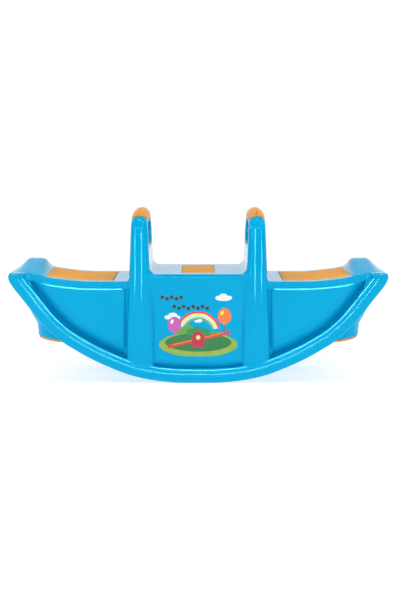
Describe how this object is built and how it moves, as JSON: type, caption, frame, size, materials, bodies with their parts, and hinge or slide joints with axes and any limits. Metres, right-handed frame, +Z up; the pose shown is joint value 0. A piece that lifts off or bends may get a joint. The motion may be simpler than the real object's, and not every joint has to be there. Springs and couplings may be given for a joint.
{
  "type": "rocker seesaw",
  "caption": "Toddler rocker seesaw: hollow plastic boat-shaped body on a curved sole, with end and middle seats, arch handles, seat pads and stop feet.",
  "frame": {"origin": "on the floor under the middle of the rocking sole", "axes": "+X along the seesaw from the middle to the right-hand seat, +Y across it away from the decorated near face, +Z up"},
  "size_m": [1.08, 0.3, 0.4944],
  "materials": {
    "body_blue": "gloss",
    "pad_orange": "fine non-slip grid",
    "grip_orange": "satin",
    "cap_orange": "matt",
    "screw_steel": "zinc plated",
    "picture_film": "printed"
  },
  "bodies": {
    "root": {"near_half_shell": "body_blue", "far_half_shell": "body_blue", "left_seat_pad": "pad_orange", "centre_seat_pad": "pad_orange", "right_seat_pad": "pad_orange", "left_grip_outer_half": "grip_orange", "left_grip_inner_half": "grip_orange", "right_grip_outer_half": "grip_orange", "right_grip_inner_half": "grip_orange", "left_foot_cap": "cap_orange", "right_foot_cap": "cap_orange", "left_end_shell_screw": "screw_steel", "right_end_shell_screw": "screw_steel", "left_wing_shell_screw": "screw_steel", "right_wing_shell_screw": "screw_steel", "left_keel_shell_screw": "screw_steel", "right_keel_shell_screw": "screw_steel", "left_handle_shell_screw": "screw_steel", "right_handle_shell_screw": "screw_steel", "left_cap_near_screw": "screw_steel", "left_cap_far_screw": "screw_steel", "right_cap_near_screw": "screw_steel", "right_cap_far_screw": "screw_steel", "near_picture_film": "picture_film", "far_picture_film": "picture_film"}
  },
  "joints": []
}
